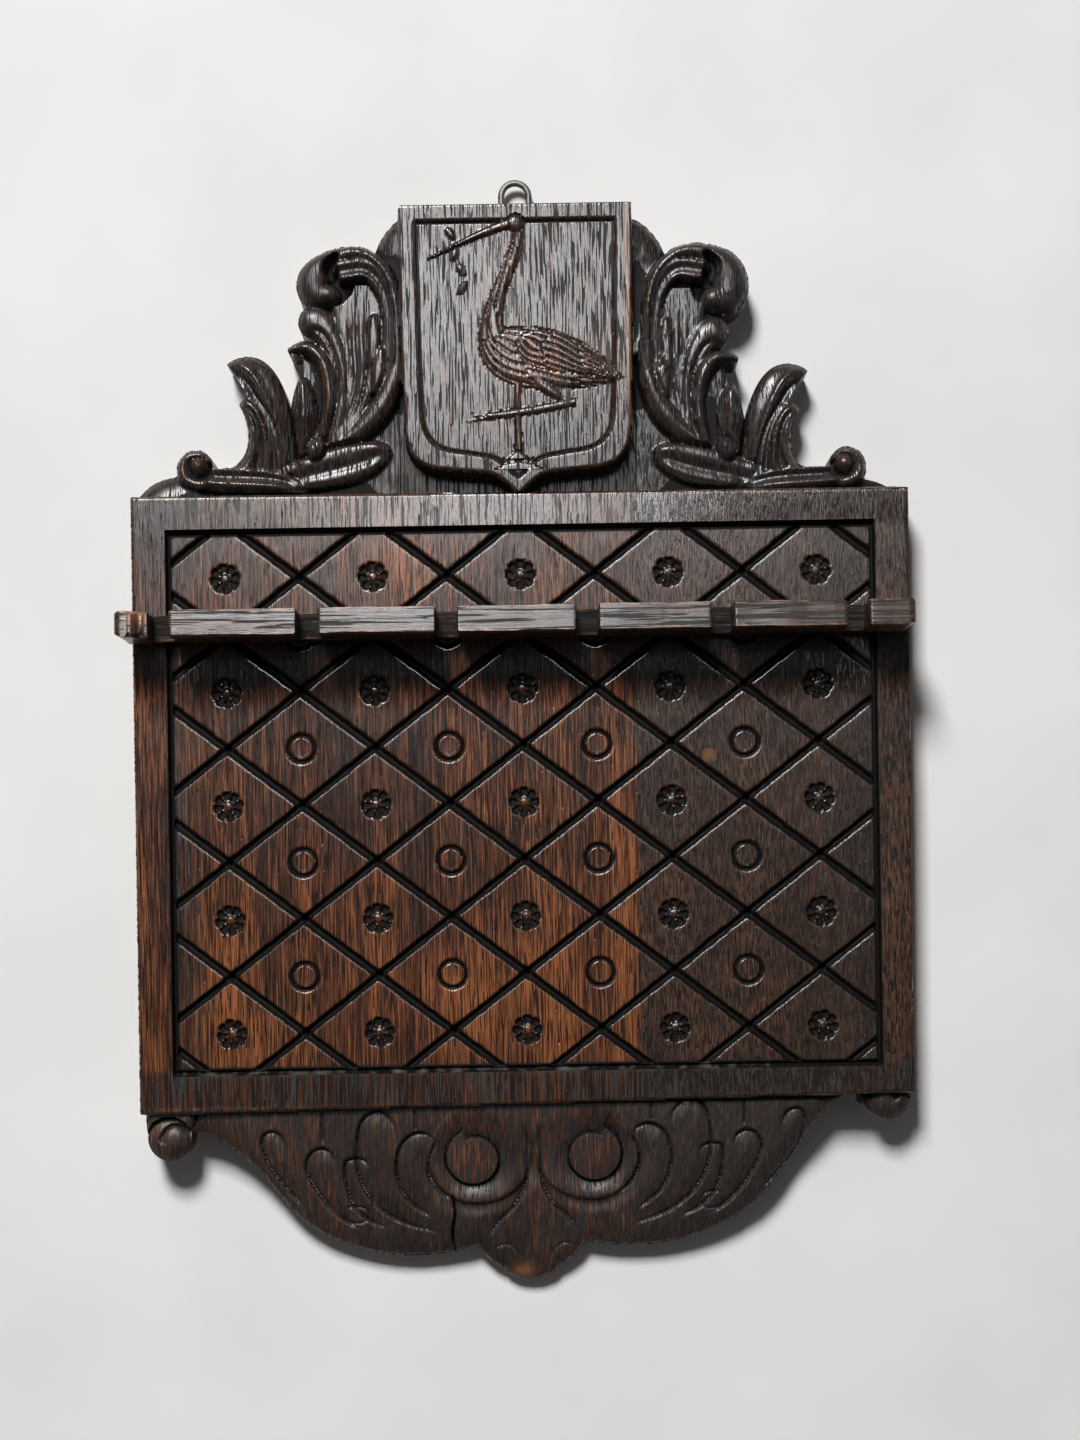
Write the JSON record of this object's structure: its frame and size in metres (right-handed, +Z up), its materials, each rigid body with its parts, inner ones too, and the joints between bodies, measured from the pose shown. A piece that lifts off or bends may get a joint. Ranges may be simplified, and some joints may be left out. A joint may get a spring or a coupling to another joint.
{
  "type": "wall spoon rack",
  "caption": "Carved oak wall rack with a trellis panel, a shield crest with a wading bird, a scrolled apron, a slotted rail for hanging spoons and a wire hanging loop.",
  "frame": {"origin": "on the flat back, behind the middle of the trellis field", "axes": "+Z up, +X to the right seen from the front, +Y into the wall, so the carved front faces -Y"},
  "size_m": [0.303, 0.042, 0.4324],
  "materials": {
    "oak_left": "dark stained oak, waxed, worn on the edges",
    "oak_right": "dark stained oak, waxed",
    "oak_rail": "dark stained oak, worn on the arrises",
    "dowel_wood": "bare turned wood",
    "iron": "dull grey iron"
  },
  "bodies": {
    "rack": {"back_board_left": "oak_left", "back_board_right": "oak_right", "edge_dowels": "dowel_wood", "spoon_rail": "oak_rail", "rail_screws": "iron", "hanger_strap": "iron", "hanger_screws": "iron"},
    "loop": {"hanger_loop": "iron"}
  },
  "joints": [
    {"name": "loop_swing", "type": "hinge", "parent": "rack", "child": "loop", "pos_m": [0, -0.00281, 0.21575], "axis": [-1, 0, 0], "range_deg": [0, 170]}
  ]
}
